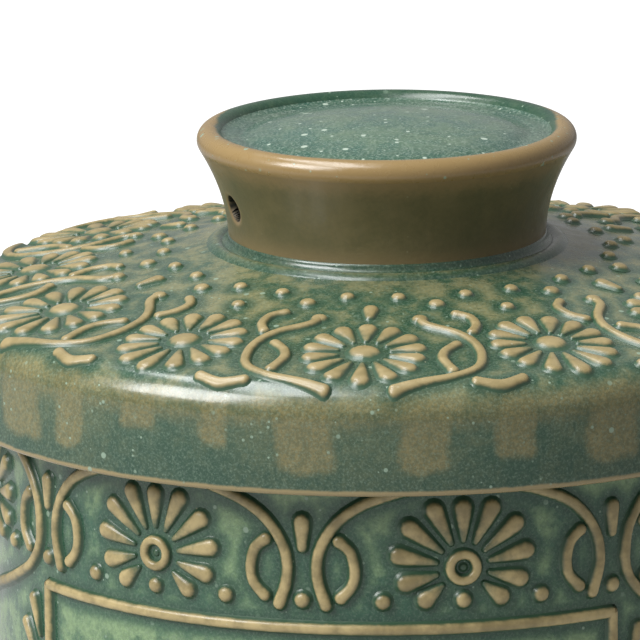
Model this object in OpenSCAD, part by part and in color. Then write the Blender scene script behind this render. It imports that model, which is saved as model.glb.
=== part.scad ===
// Lidded ginger jar with applied relief, a lift-off lid and a hollow flared knob.
// Millimetres, +Z up, origin at the centre of the foot where it meets the table.

/* [Jar body] */
// outside radius of the straight jar wall
jar_radius = 72.9; // [60:0.1:95]
// height of the lid's lower edge above the table
edge_height = 190; // [140:1:260]
// thickness of the jar wall
jar_wall_thickness = 5; // [3:0.1:8]
// thickness of the jar floor
floor_thickness = 6.5; // [4:0.1:12]
// height over which the wall draws in towards the foot
base_curve_height = 34; // [20:1:55]
// radius where the drawn-in wall meets the foot ring
base_radius = 58; // [45:0.5:70]

/* [Foot] */
// height of the unglazed foot ring
foot_height = 6; // [3:0.5:12]
// outside radius of the foot ring
foot_radius = 55; // [42:0.5:68]
// radial width of the foot ring
foot_width = 6; // [3:0.5:12]

/* [Lid] */
// gap between the inside of the lid skirt and the plain jar wall
skirt_gap = 4.5; // [2.2:0.1:6]
// thickness of the lid skirt
lid_wall_thickness = 4.6; // [3:0.1:7]
// straight height of the lid skirt below the shoulder
skirt_height = 13.6; // [9:0.1:24]
// rounding radius of the lid shoulder
shoulder_rounding = 6.5; // [3:0.1:10]
// slope of the lid top above horizontal in degrees
lid_slope = 10.5; // [6:0.5:20]
// height of the seat under the lid above the lower edge
seat_height = 12; // [6:0.5:18]
// gap left between the lid seat and the jar rim
seat_gap = 0.2; // [0.1:0.05:0.6]

/* [Locating flange] */
// radial clearance between the flange and the inside of the jar
flange_gap = 0.9; // [0.4:0.1:3]
// radial thickness of the flange
flange_thickness = 4; // [2.5:0.1:7]
// depth of the flange below the lid seat
flange_depth = 15; // [8:0.5:30]

/* [Knob] */
// radius of the knob where it meets the lid
knob_base_radius = 29.2; // [20:0.1:36]
// outside radius of the rolled knob rim
knob_rim_radius = 34.9; // [25:0.1:42]
// height from the lid surface at the knob to the centre of the rolled rim
knob_height = 18.8; // [12:0.1:28]
// thickness of the rolled rim measured up and down
rim_roll = 5; // [3:0.1:8]
// thickness of the knob wall
knob_wall_thickness = 3.8; // [2.5:0.1:6]
// rise of the gently domed knob top above its groove
cap_rise = 3.4; // [1:0.1:6]
// diameter of the vent hole through the knob wall
vent_diameter = 4.6; // [2:0.1:8]
// angle of the vent hole round the knob from the front
vent_angle = -68; // [-180:1:180]
// height of the vent hole above the lid surface at the knob
vent_height = 8; // [5:0.1:11]
// radial width of the collar ring round the knob
collar_width = 2.6; // [1.5:0.1:5]

/* [Relief] */
// how far the applied ornament stands proud of the jar wall
jar_relief = 1.2; // [0.6:0.1:1.8]
// how far the applied ornament stands proud of the lid
lid_relief = 0.9; // [0.6:0.1:2]
// width of a trailed line on the jar
jar_line = 2.1; // [1.2:0.1:3]
// width of a trailed line on the lid
lid_line = 1.9; // [1.2:0.1:3]

/* [Pattern counts] */
// flowers round the jar
jar_flowers = 8; // [4:4:12]
// flowers round the lid
lid_flowers = 12; // [8:2:14]
// petals of one jar flower, fanned over its upper part
jar_petals = 11; // [7:2:13]
// petals of one lid flower
lid_petals = 14; // [8:2:14]

/* [Pattern placing] */
// angle of the first jar flower from the front
jar_phase = 10.3; // [-22:0.1:22]
// angle of the first ringed lid flower from the front
lid_phase = -3.7; // [-15:0.1:15]
// depth of the jar flower centres below the lid's lower edge, which sets the size of the band
flower_drop = 15.3; // [12:0.1:20]
// depth of the row of dots below the flower centres
dot_gap = 5.9; // [5.7:0.1:8]
// depth of the panel's upper line below the row of dots
panel_gap = 5.1; // [4:0.1:12]
// height of the panel's lower line above the drawn-in part of the wall
panel_rise = 23.7; // [4:0.1:40]

/* [Hidden] */
$fn = 96;
steps = 6;
lid_radius = jar_radius + skirt_gap + lid_wall_thickness;
rim_height = edge_height + seat_height - seat_gap;
flange_outer = jar_radius - jar_wall_thickness - flange_gap;
arc_end = 90 - lid_slope;
arc_r = lid_radius - shoulder_rounding;
jar_step = 360 / jar_flowers;
lid_step = 360 / lid_flowers;
drawn_drop = 15.3;
drawn_lid = 82;
ornament = flower_drop / drawn_drop;
lid_ornament = lid_radius / drawn_lid;
dot_drop = flower_drop + dot_gap;
panel_drop = dot_drop + panel_gap;
panel_height = edge_height - panel_drop - foot_height - base_curve_height - panel_rise;
knob_z = edge_height + skin_z(knob_base_radius, 0);

glaze = [0.27, 0.42, 0.36];
slip = [0.76, 0.66, 0.46];
brown = [0.45, 0.41, 0.28];
bare = [0.80, 0.74, 0.64];

// ---- outline maths ---------------------------------------------------------

function rev(a) = [for (i = [len(a) - 1 : -1 : 0]) a[i]];
function unit(v) = v / norm(v);
function left(v) = [-v[1], v[0]];
function polar(t) = [cos(t), sin(t)];

// teardrop outline with a round end of radius a at p and a narrow end of radius b at q
function drop(p, q, a, b) =
    let (d = norm(q - p), h = atan2(q[1] - p[1], q[0] - p[0]), k = acos((a - b) / d))
    concat([for (i = [0 : steps + 2]) p + a * polar(h + k + (360 - 2 * k) * i / (steps + 2))],
        [for (i = [0 : 2]) q + b * polar(h - k + k * i)]);

// smooth curve through a few guide points, n short steps between each two
function bend(a, b, c, d, t) = 0.5 * (2 * b + (c - a) * t
    + (2 * a - 5 * b + 4 * c - d) * t * t + (3 * b - a - 3 * c + d) * t * t * t);
function at(g, i) = g[min(max(i, 0), len(g) - 1)];
function curve(g, n) = concat([for (i = [0 : len(g) - 2]) for (j = [0 : n - 1])
    bend(at(g, i - 1), g[i], g[i + 1], at(g, i + 2), j / n)], [g[len(g) - 1]]);

// outline of a line of width w with rounded ends along the points c
function heading(c, i) = unit(at(c, i + 1) - at(c, i - 1));
function nose(p, h, r) = [for (t = [45, 0, -45]) p + r * (cos(t) * h + sin(t) * left(h))];
function stroke(c, w) = let (n = len(c) - 1, r = w / 2) concat(
    [for (i = [0 : n]) c[i] + r * left(heading(c, i))],
    nose(c[n], heading(c, n), r),
    [for (i = [n : -1 : 0]) c[i] - r * left(heading(c, i))],
    nose(c[0], -heading(c, 0), r));

// ---- surfaces --------------------------------------------------------------

// height of the lid's upper skin moved outward by k, at radius r on its slope
function skin_z(r, k) = skirt_height + (shoulder_rounding + k) * sin(arc_end)
    + (arc_r + (shoulder_rounding + k) * cos(arc_end) - r) * tan(lid_slope);
// the same skin as points, from the skirt over the shoulder and in to radius r
function skin(r, k) = concat([for (i = [0 : steps])
    [arc_r, skirt_height] + (shoulder_rounding + k) * polar(arc_end * i / steps)],
    [[r, skin_z(r, k)]]);

// curve that draws the jar wall in to the foot, moved inward by k
function base_curve(k) = [for (i = [0 : steps]) let (t = 90 * i / steps)
    [base_radius - k + (jar_radius - base_radius) * sin(t),
     foot_height + base_curve_height * (1 - cos(t))]];

// outside radius of the knob at height z above its foot
function knob_r(z) = knob_base_radius
    + (knob_seam_radius - knob_base_radius) * pow(z / knob_seam, 2);

// place in the jar's flower band, d degrees round and z up from the lid's lower edge
function wall_at(d, z) = [jar_radius * sin(d), z * ornament];
// place on the lid in plan, d degrees round at a share r of the lid radius
function top_at(d, r) = lid_radius * r * [sin(d), -cos(d)];

// relief on the jar wall from an outline drawn flat
module on_jar(angle) rotate([0, 0, angle]) translate([0, 0, edge_height]) intersection() {
    translate([0, 0, -edge_height]) difference() {
        cylinder(r = jar_radius + jar_relief, h = rim_height);
        translate([0, 0, -1]) cylinder(r = jar_radius, h = rim_height + 2);
    }
    rotate([90, 0, 0]) linear_extrude(height = jar_radius + 4) children();
}

// relief on the lid from an outline drawn in plan
module on_lid(angle) rotate([0, 0, angle]) translate([0, 0, edge_height]) intersection() {
    rotate_extrude() polygon(concat(skin(collar_outer, lid_relief), rev(skin(collar_outer, 0))));
    linear_extrude(height = 60) children();
}

module each_jar_flower()
    for (i = [0 : jar_flowers - 1]) on_jar(jar_phase + jar_step * i) children();
module each_lid_flower()
    for (i = [0 : lid_flowers - 1]) on_lid(lid_phase + lid_step * i) children();
module each_ringed()
    for (i = [0 : 2 : lid_flowers - 1]) on_lid(lid_phase + lid_step * i) children();
module each_open()
    for (i = [1 : 2 : lid_flowers - 1]) on_lid(lid_phase + lid_step * i) children();
// a panel sits under each second pair of jar flowers
module each_panel() for (i = [0 : jar_flowers / 4 - 1])
    rotate([0, 0, jar_phase + jar_step * (4 * i - 0.5)]) children();

// ---- jar -------------------------------------------------------------------

module jar_wall() color(glaze) rotate_extrude() polygon(concat(
    [[0, foot_height]], base_curve(0),
    [[jar_radius, rim_height], [jar_radius - jar_wall_thickness, rim_height]],
    rev([for (p = base_curve(jar_wall_thickness)) if (p[1] > foot_height + floor_thickness) p]),
    [[base_radius - jar_wall_thickness, foot_height + floor_thickness],
     [0, foot_height + floor_thickness]]));

module foot_ring() color(bare) difference() {
    cylinder(r = foot_radius, h = foot_height);
    translate([0, 0, -1]) cylinder(r = foot_radius - foot_width, h = foot_height + 2);
}

petal_fan = 260;
petal_mid = (jar_petals - 1) / 2;
petal_reach = 12.1 * ornament;
petal_near = 5 * ornament;
petal_fat = 1.65 * ornament;
petal_tip = 0.55 * ornament;
// the side petals reach furthest and the lowest ones least
function reach_at(k) = petal_reach - (k > 2 ? 0.36 : 0.3) * pow(k - 2, 2) * ornament;
module jar_flower_petals() color(slip) each_jar_flower() translate([0, -flower_drop])
    for (i = [0 : jar_petals - 1]) let (k = i - petal_mid, t = 90 - petal_fan * k / (2 * petal_mid))
        polygon(drop(reach_at(abs(k) * 5 / petal_mid) * polar(t), petal_near * polar(t),
            petal_fat, petal_tip));

ring_outer = 3.25 * ornament;
ring_inner = 1.5 * ornament;
module jar_flower_rings() color(slip) each_jar_flower() translate([0, -flower_drop]) difference() {
    circle(r = ring_outer);
    circle(r = ring_inner);
}

arch_half = 20.4 * jar_step / 45;
arch_side = [[0.94, -22], [1, -16.5], [0.965, -10.9], [0.8, -5.4], [0.5, -1.7]];
function leg(s) = [for (p = arch_side) wall_at(s * arch_half * p[0], p[1])];
// the legs next to a panel but outside it sweep down into the side field
function swept(i, s) = (i % 4 == 1 && s < 0) || (i % 4 == 2 && s > 0);
module jar_arches() color(slip) for (i = [0 : jar_flowers - 1]) on_jar(jar_phase + jar_step * i)
    polygon(stroke(curve(concat(
        [for (p = leg(-1)) if (!swept(i, -1) || p[1] > -17) p], [wall_at(0, 0.8)],
        rev([for (p = leg(1)) if (!swept(i, 1) || p[1] > -17) p])), 3), jar_line));

sweep_path = [[0.99, -18.9], [0.93, -21.6], [0.79, -24.8], [0.43, -29.1], [0.05, -32.4],
    [-0.45, -37.5], [-0.85, -45], [-1.02, -56], [-1.03, -68]];
module side_scrolls() color(slip) for (i = [0 : jar_flowers - 1]) for (s = [-1, 1])
    if (swept(i, s)) on_jar(jar_phase + jar_step * i)
        polygon(stroke(curve([for (p = sweep_path) wall_at(s * arch_half * p[0], p[1])], 3),
            jar_line));

crescent_side = [[17.3, -10.3], [15.7, -12.2], [15.1, -15.5], [15.5, -18.3], [17.1, -20.6]];
module jar_crescents() color(slip) each_jar_flower() for (s = [-1, 1])
    polygon(stroke(curve([for (p = crescent_side)
        wall_at(s * p[0] * jar_step / 45, p[1])], 3), jar_line));

module jar_ovals() color(slip) for (i = [0 : jar_flowers - 1])
    on_jar(jar_phase + jar_step * (i + 0.5))
        polygon(drop(wall_at(0, -6.9), wall_at(0, -11.6), 1.5 * ornament, 0.95 * ornament));

dot_radius = 1.5 * ornament;
module jar_dots() color(slip) for (i = [0 : 4 * jar_flowers - 1])
    on_jar(jar_phase + jar_step / 4 * i) translate([0, -dot_drop]) circle(r = dot_radius);

frame_half = jar_step;
frame_bar = jar_line / jar_radius * 90 / PI;
// block bent round the jar axis from -half to half degrees
module bent_block(half, r, depth, h) rotate([0, 0, -90 - half])
    rotate_extrude(angle = 2 * half) translate([r, 0]) square([depth, h]);
module panel_frames() color(slip) each_panel()
    translate([0, 0, edge_height - panel_drop - panel_height + jar_line / 2]) difference() {
        bent_block(frame_half + frame_bar, jar_radius, jar_relief, panel_height);
        translate([0, 0, jar_line]) bent_block(frame_half - frame_bar, jar_radius - 1,
            jar_relief + 2, panel_height - 2 * jar_line);
    }

leaf_gap = 5.2;
leaf_count = floor((panel_height - 14) / leaf_gap);
module side_leaves() color(slip) each_panel() for (s = [-1, 1]) on_jar(s * (frame_half + 4))
    for (k = [0 : leaf_count]) let (z = -panel_drop - 3.7 - leaf_gap * k, out = 3.2 * (k % 2))
        polygon(drop([s * (0.6 + out), z], [-s * 1.4, z - 6.6 - 0.4 * out], 1.25, 0.45));

// ---- lid -------------------------------------------------------------------

module lid_shell() color(glaze) translate([0, 0, edge_height]) rotate_extrude() polygon(concat(
    [[lid_radius, 0]], skin(knob_base_radius - knob_wall_thickness, 0),
    [[0, skin_z(knob_base_radius - knob_wall_thickness, 0)],
     [0, skin_z(knob_base_radius - knob_wall_thickness, 0) - lid_wall_thickness],
     [knob_base_radius, skin_z(knob_base_radius, 0) - lid_wall_thickness],
     [flange_outer - flange_thickness, skin_z(flange_outer - flange_thickness, 0)
        - lid_wall_thickness],
     [flange_outer - flange_thickness, seat_height],
     [lid_radius - lid_wall_thickness, seat_height],
     [lid_radius - lid_wall_thickness, 0]]));

module lid_flange() color(bare) translate([0, 0, edge_height + seat_height - flange_depth])
    difference() {
        cylinder(r = flange_outer, h = flange_depth);
        translate([0, 0, -1]) cylinder(r = flange_outer - flange_thickness, h = flange_depth + 2);
    }

bloom_at = 0.797;
bloom_reach = 9.5 * lid_ornament;
bloom_near = 5.4 * lid_ornament;
bloom_fat = 1.5 * lid_ornament;
bloom_tip = 0.5 * lid_ornament;
// petals pointing out to the edge reach further than those pointing in to the knob
function bloom_at_angle(t) = bloom_reach
    + (sin(t) < 0 ? 2.3 : 0.6) * pow(sin(t), 2) * lid_ornament;
module lid_flower_petals() color(slip) each_lid_flower() translate(top_at(0, bloom_at))
    for (i = [0 : lid_petals - 1]) let (t = 90 + 360 * i / lid_petals)
        polygon(drop(bloom_at_angle(t) * polar(t), bloom_near * polar(t), bloom_fat, bloom_tip));

heart_radius = 2.8 * lid_ornament;
module lid_flower_hearts() color(slip) each_lid_flower()
    translate(top_at(0, bloom_at)) circle(r = heart_radius);

lid_spread = lid_step / 30;
function lid_path(g, s) = curve([for (p = g) top_at(s * p[0] * lid_spread, p[1])], 3);
scroll_path = [[10.1, 0.625], [11.2, 0.658], [15.6, 0.703], [17.7, 0.755], [17.9, 0.82],
    [16.3, 0.89], [12.4, 0.932], [7.5, 0.954], [4.4, 0.971]];
module lid_scrolls() color(slip) each_ringed() for (s = [-1, 1]) {
    polygon(stroke(lid_path(scroll_path, s), lid_line));
    translate(top_at(s * scroll_path[0][0] * lid_spread, scroll_path[0][1]))
        circle(r = 0.8 * lid_line);
}

inner_crescent = [[14.8, 0.768], [12.6, 0.8], [11.8, 0.84], [12.6, 0.9]];
outer_crescent = [[17.9, 0.606], [20.2, 0.63], [20.3, 0.672], [18.7, 0.707]];
module lid_crescents() color(slip) each_ringed() for (s = [-1, 1]) {
    polygon(stroke(lid_path(inner_crescent, s), 1.05 * lid_line));
    polygon(stroke(lid_path(outer_crescent, s), lid_line));
}

leaf_path = [[15.2, 0.955], [18.3, 0.967], [21.3, 0.954]];
module lid_leaves() color(slip) each_ringed() for (s = [-1, 1])
    polygon(stroke(lid_path(leaf_path, s), lid_line));

module lid_drops() color(slip) each_ringed()
    polygon(drop(top_at(0, 0.569), top_at(0, 0.611), 1.45 * lid_ornament, 0.9 * lid_ornament));

lid_dot = 1.35 * lid_ornament;
module lid_dots() color(slip) {
    each_lid_flower() {
        for (s = [-1, 1]) translate(top_at(s * 6.4 * lid_spread, 0.502)) circle(r = lid_dot);
        translate(top_at(lid_step / 2, 0.545)) circle(r = 1.15 * lid_dot);
    }
    each_open() translate(top_at(0, 0.589)) circle(r = lid_dot);
}

// ---- knob ------------------------------------------------------------------

rim_round = rim_roll / 2;
rim_cut = 0.55 * rim_round;
knob_seam = knob_height - rim_cut;
rim_middle = knob_rim_radius - rim_round;
seam_half = sqrt(pow(rim_round, 2) - pow(rim_cut, 2));
knob_seam_radius = rim_middle + seam_half;
cap_radius = rim_middle - seam_half;
collar_inner = knob_base_radius + 1.3;
collar_outer = collar_inner + collar_width;
cap_groove = 1.6;

module knob_collar() color(brown) translate([0, 0, edge_height]) rotate_extrude() polygon([
    [collar_inner, skin_z(collar_inner, 0)], [collar_outer, skin_z(collar_outer, 0)],
    [collar_outer - 0.7, skin_z(collar_outer, 0) + 0.9],
    [collar_inner + 0.7, skin_z(collar_inner, 0) + 0.8]]);

module knob_wall() color(brown) translate([0, 0, knob_z]) difference() {
    rotate_extrude() polygon(concat(
        [for (i = [0 : steps]) [knob_r(knob_seam * i / steps), knob_seam * i / steps]],
        rev([for (i = [1 : steps]) let (z = knob_seam * i / steps)
            [min(cap_radius, knob_r(z) - knob_wall_thickness), z]]),
        [[knob_base_radius - knob_wall_thickness, knob_wall_thickness * tan(lid_slope)]]));
    rotate([0, 0, vent_angle]) translate([0, 0, vent_height]) rotate([90, 0, 0])
        cylinder(d = vent_diameter, h = knob_rim_radius);
}

module knob_rim() color(slip) translate([0, 0, knob_z]) rotate_extrude() intersection() {
    translate([rim_middle, knob_height]) circle(r = rim_round);
    translate([cap_radius, knob_seam]) square([knob_rim_radius, rim_roll]);
}

module knob_cap() color(glaze) translate([0, 0, knob_z + knob_seam]) rotate_extrude() polygon(
    concat([[0, 0], [cap_radius, 0], [cap_radius, rim_cut + 0.5 * rim_round],
        [cap_radius - 2.2, cap_groove]],
        [for (i = [1 : steps]) let (t = i / steps)
            [(cap_radius - 2.2) * (1 - t), cap_groove + cap_rise * (1 - pow(1 - t, 2))]]));

jar_wall();
foot_ring();
jar_flower_petals();
jar_flower_rings();
jar_arches();
jar_crescents();
jar_ovals();
jar_dots();
panel_frames();
side_scrolls();
side_leaves();
lid_shell();
lid_flange();
lid_flower_petals();
lid_flower_hearts();
lid_scrolls();
lid_crescents();
lid_leaves();
lid_drops();
lid_dots();
knob_collar();
knob_wall();
knob_rim();
knob_cap();
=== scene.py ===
"""Glazed ginger jar with applied relief, a lift-off lid and a hollow flared knob.

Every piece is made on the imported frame: sizes come from the boxes of its nodes, in millimetres here and in
metres in Blender.
"""
import logging
import math
from dataclasses import dataclass, field
from enum import Enum
from typing import Callable, Sequence

import bpy
import numpy as np
from mathutils import Matrix, Vector


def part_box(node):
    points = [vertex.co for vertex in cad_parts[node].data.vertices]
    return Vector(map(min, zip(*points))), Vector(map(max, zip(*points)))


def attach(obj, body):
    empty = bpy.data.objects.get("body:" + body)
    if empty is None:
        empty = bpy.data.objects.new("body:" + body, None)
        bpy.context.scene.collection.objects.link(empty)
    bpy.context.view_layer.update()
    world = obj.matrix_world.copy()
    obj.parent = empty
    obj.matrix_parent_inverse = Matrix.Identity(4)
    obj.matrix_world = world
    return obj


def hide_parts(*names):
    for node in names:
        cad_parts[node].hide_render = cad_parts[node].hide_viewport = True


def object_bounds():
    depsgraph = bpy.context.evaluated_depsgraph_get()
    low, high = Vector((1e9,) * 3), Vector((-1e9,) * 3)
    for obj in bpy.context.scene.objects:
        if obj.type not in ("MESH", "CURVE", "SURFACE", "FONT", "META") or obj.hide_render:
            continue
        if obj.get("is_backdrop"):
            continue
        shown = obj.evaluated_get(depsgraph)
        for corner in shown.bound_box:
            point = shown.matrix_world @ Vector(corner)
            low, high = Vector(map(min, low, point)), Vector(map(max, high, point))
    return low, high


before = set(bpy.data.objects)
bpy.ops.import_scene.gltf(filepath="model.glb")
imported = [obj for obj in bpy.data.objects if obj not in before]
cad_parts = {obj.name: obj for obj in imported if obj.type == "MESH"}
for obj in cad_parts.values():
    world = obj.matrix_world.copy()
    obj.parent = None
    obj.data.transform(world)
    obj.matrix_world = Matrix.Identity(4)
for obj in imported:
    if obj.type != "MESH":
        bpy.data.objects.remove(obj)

log = logging.getLogger("ginger_jar")
MM = 0.001
FAR = 9.0  # mm from the nearest clay past which the glaze takes no notice of it
AXIS = 0.05  # mm from the axis at which a turned profile ends
SKIN = 0.4  # mm inside the nominal skin that still counts as the outer face
BELOW = 8  # mm under the panels' lower line within which clay marks the wall
Marks = dict[str, np.ndarray]
Colour = tuple[float, float, float]
Point = tuple[float, float]


# ---- flat shapes of clay -----------------------------------------------------------------------------------


@dataclass(frozen=True)
class Stroke:
    """A trail or drop of clay on the flat pattern: its middle line and its half width along it."""

    spine: np.ndarray
    half: np.ndarray
    closed: bool = False
    lift: float = 1.0

    def distance(self, at: np.ndarray) -> np.ndarray:
        """Gives how far points lie outside the stroke's outline.

        Args:
            at: points on the flat pattern, one row each.

        Returns:
            The distance of each, in mm, less than nothing inside.
        """
        spine, half = self.spine, self.half
        if self.closed:
            spine, half = np.vstack([spine, spine[:1]]), np.append(half, half[:1])
        best = np.full(len(at), 1e3)
        for a, b, wide, narrow in zip(spine[:-1], spine[1:], half[:-1], half[1:]):
            along = b - a
            share = np.clip((at - a) @ along / max(along @ along, 1e-9), 0.0, 1.0)
            gap = np.linalg.norm(at - a - share[:, None] * along, axis=1)
            best = np.minimum(best, gap - wide - share * (narrow - wide))
        return best


def bend(points: Sequence[Point], steps: int = 4) -> np.ndarray:
    """Runs a smooth curve through guide points.

    Args:
        points: the guide points in order.
        steps: short steps between each two of them.

    Returns:
        The points of the curve, one row each.
    """
    g = np.asarray(points, float)
    g = np.vstack([g[:1], g, g[-1:]])
    out = []
    for i in range(1, len(g) - 2):
        a, b, c, d = g[i - 1 : i + 3]
        for j in range(steps):
            t = j / steps
            out.append(0.5 * (2 * b + (c - a) * t + (2 * a - 5 * b + 4 * c - d) * t * t
                              + (3 * b - a - 3 * c + d) * t**3))
    return np.vstack(out + [g[-1]])


def trail(points: Sequence[Point], width: float, steps: int = 4, swell: float = 0.12) -> Stroke:
    """Lays a trailed line of clay.

    Args:
        points: guide points of its middle line.
        width: its width in mm.
        steps: short steps between each two guide points.
        swell: share by which its ends are fuller than its middle.

    Returns:
        The stroke.
    """
    spine = bend(points, steps)
    ends = np.abs(np.linspace(-1.0, 1.0, len(spine))) ** 6
    return Stroke(spine, width / 2 * (1 + swell * ends))


def drop(full: Point, fine: Point, full_half: float, fine_half: float, steps: int = 4) -> Stroke:
    """Lays a drop of clay, full at one end and fine at the other.

    Args:
        full: middle of the full end.
        fine: middle of the fine end.
        full_half: half width at the full end.
        fine_half: half width at the fine end.
        steps: short steps from end to end.

    Returns:
        The stroke.
    """
    t = np.linspace(0.0, 1.0, steps + 1)
    spine = np.outer(1 - t, full) + np.outer(t, fine)
    return Stroke(spine, full_half + (fine_half - full_half) * t**1.15)


def dot(centre: Point, radius: float, lift: float = 1.0) -> Stroke:
    """Lays a round dot of clay.

    Args:
        centre: its middle.
        radius: its radius in mm.
        lift: its height as a share of the pattern's.

    Returns:
        The stroke.
    """
    c = np.asarray(centre, float)
    step = np.array([0.02 * radius, 0.0])
    return Stroke(np.vstack([c - step, c + step]), np.full(2, radius * 0.98), lift=lift)


def loop(centre: Point, radius: float, half: float, count: int = 24) -> Stroke:
    """Lays a closed ring of clay.

    Args:
        centre: its middle.
        radius: radius of its middle line.
        half: half its width.
        count: points round it.

    Returns:
        The stroke.
    """
    t = np.linspace(0.0, 2 * math.pi, count, endpoint=False)
    spine = np.asarray(centre, float) + radius * np.column_stack([np.cos(t), np.sin(t)])
    return Stroke(spine, np.full(count, half), closed=True)


# ---- surfaces that the clay lies on ------------------------------------------------------------------------


@dataclass(frozen=True)
class JarWrap:
    """The straight jar wall, where a flat pattern is arc length across and height from the lid's edge up."""

    radius: float
    edge: float

    def place(self, flat: np.ndarray, lift: np.ndarray, turn: float) -> np.ndarray:
        """Puts flat points on the wall.

        Args:
            flat: points of the pattern.
            lift: height of each above the wall.
            turn: turn of the pattern round the jar, in degrees.

        Returns:
            Their places in mm.
        """
        a = flat[:, 0] / self.radius + math.radians(turn)
        r = self.radius + lift
        return np.column_stack([r * np.sin(a), -r * np.cos(a), self.edge + flat[:, 1]])

    def flatten(self, at: np.ndarray, turn: float) -> np.ndarray:
        """Gives the flat places of points on the wall.

        Args:
            at: points on the wall in mm.
            turn: turn of the pattern round the jar, in degrees.

        Returns:
            Their places on the pattern.
        """
        a = np.arctan2(at[:, 0], -at[:, 1]) - math.radians(turn)
        a = (a + math.pi) % (2 * math.pi) - math.pi
        return np.column_stack([self.radius * a, at[:, 2] - self.edge])


@dataclass(frozen=True)
class LidWrap:
    """The lid's rounded shoulder and sloping top, where a flat pattern is the lid seen from above."""

    radius: float
    edge: float
    skirt: float = 13.6
    rounding: float = 6.5
    slope: float = math.radians(10.5)

    @property
    def arc_radius(self) -> float:
        """Radius at which the shoulder's rounding is centred."""
        return self.radius - self.rounding

    def skin(self, r: np.ndarray) -> tuple[np.ndarray, np.ndarray, np.ndarray]:
        """Gives the skin's height and its outward direction at some radii.

        Args:
            r: radii in mm.

        Returns:
            Heights above the lid's edge, and the outward and upward parts of the direction.
        """
        turn = math.pi / 2 - self.slope
        r_top = self.arc_radius + self.rounding * math.cos(turn)
        z_top = self.skirt + self.rounding * math.sin(turn)
        share = np.clip((r - self.arc_radius) / self.rounding, math.cos(turn), 1.0)
        on_top = r <= r_top
        up = np.where(on_top, math.cos(self.slope), np.sqrt(1 - share**2))
        out = np.where(on_top, math.sin(self.slope), share)
        z = np.where(on_top, z_top + (r_top - r) * math.tan(self.slope), self.skirt + self.rounding * up)
        return z, out, up

    def place(self, flat: np.ndarray, lift: np.ndarray, turn: float) -> np.ndarray:
        """Puts flat points on the lid.

        Args:
            flat: points of the pattern.
            lift: height of each above the lid.
            turn: turn of the pattern round the lid, in degrees.

        Returns:
            Their places in mm.
        """
        r = np.hypot(flat[:, 0], flat[:, 1])
        a = np.arctan2(flat[:, 0], -flat[:, 1]) + math.radians(turn)
        z, out, up = self.skin(r)
        far = r + lift * out
        return np.column_stack([far * np.sin(a), -far * np.cos(a), self.edge + z + lift * up])

    def flatten(self, at: np.ndarray, turn: float) -> np.ndarray:
        """Gives the flat places of points on the lid.

        Args:
            at: points on the lid in mm.
            turn: turn of the pattern round the lid, in degrees.

        Returns:
            Their places on the pattern.
        """
        t = -math.radians(turn)
        x, y = at[:, 0], at[:, 1]
        return np.column_stack([x * math.cos(t) - y * math.sin(t), x * math.sin(t) + y * math.cos(t)])

    def at(self, degrees: float, share: float) -> Point:
        """Gives the flat place at an angle and at a share of the lid's radius."""
        a = math.radians(degrees)
        return (self.radius * share * math.sin(a), -self.radius * share * math.cos(a))


# ---- meshes ---------------------------------------------------------------------------------------------


@dataclass
class Shape:
    """Points and faces being gathered for one piece, with named values on the points."""

    points: list[np.ndarray] = field(default_factory=list)
    faces: list[tuple[int, ...]] = field(default_factory=list)
    marks: dict[str, list[np.ndarray]] = field(default_factory=dict)
    count: int = 0

    def add(self, points: np.ndarray, faces: Sequence[tuple[int, ...]], **marks: np.ndarray) -> None:
        """Adds a patch.

        Args:
            points: its points in mm.
            faces: its faces, counted from its own first point.
            marks: values on its points.
        """
        self.faces.extend(tuple(i + self.count for i in f) for f in faces)
        self.points.append(points)
        for key, value in marks.items():
            self.marks.setdefault(key, []).append(value)
        self.count += len(points)

    def piece(self, name: str, uv: np.ndarray | None = None) -> bpy.types.Object:
        """Makes the Blender object.

        Args:
            name: its name.
            uv: a place on the unwrapped sheet for each corner of each face, if it has one.

        Returns:
            The object, linked to the scene.
        """
        mesh = bpy.data.meshes.new(name)
        mesh.from_pydata((np.vstack(self.points) * MM).tolist(), [], self.faces)
        for key, values in self.marks.items():
            mark = mesh.attributes.new(key, "FLOAT", "POINT")
            mark.data.foreach_set("value", np.concatenate(values).astype(np.float32))
        if uv is not None:
            layer = mesh.uv_layers.new(name="OFBake")
            layer.data.foreach_set("uv", uv.astype(np.float32).ravel())
        mesh.polygons.foreach_set("use_smooth", np.ones(len(mesh.polygons), bool))
        mesh.update()
        obj = bpy.data.objects.new(name, mesh)
        bpy.context.scene.collection.objects.link(obj)
        return obj


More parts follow.
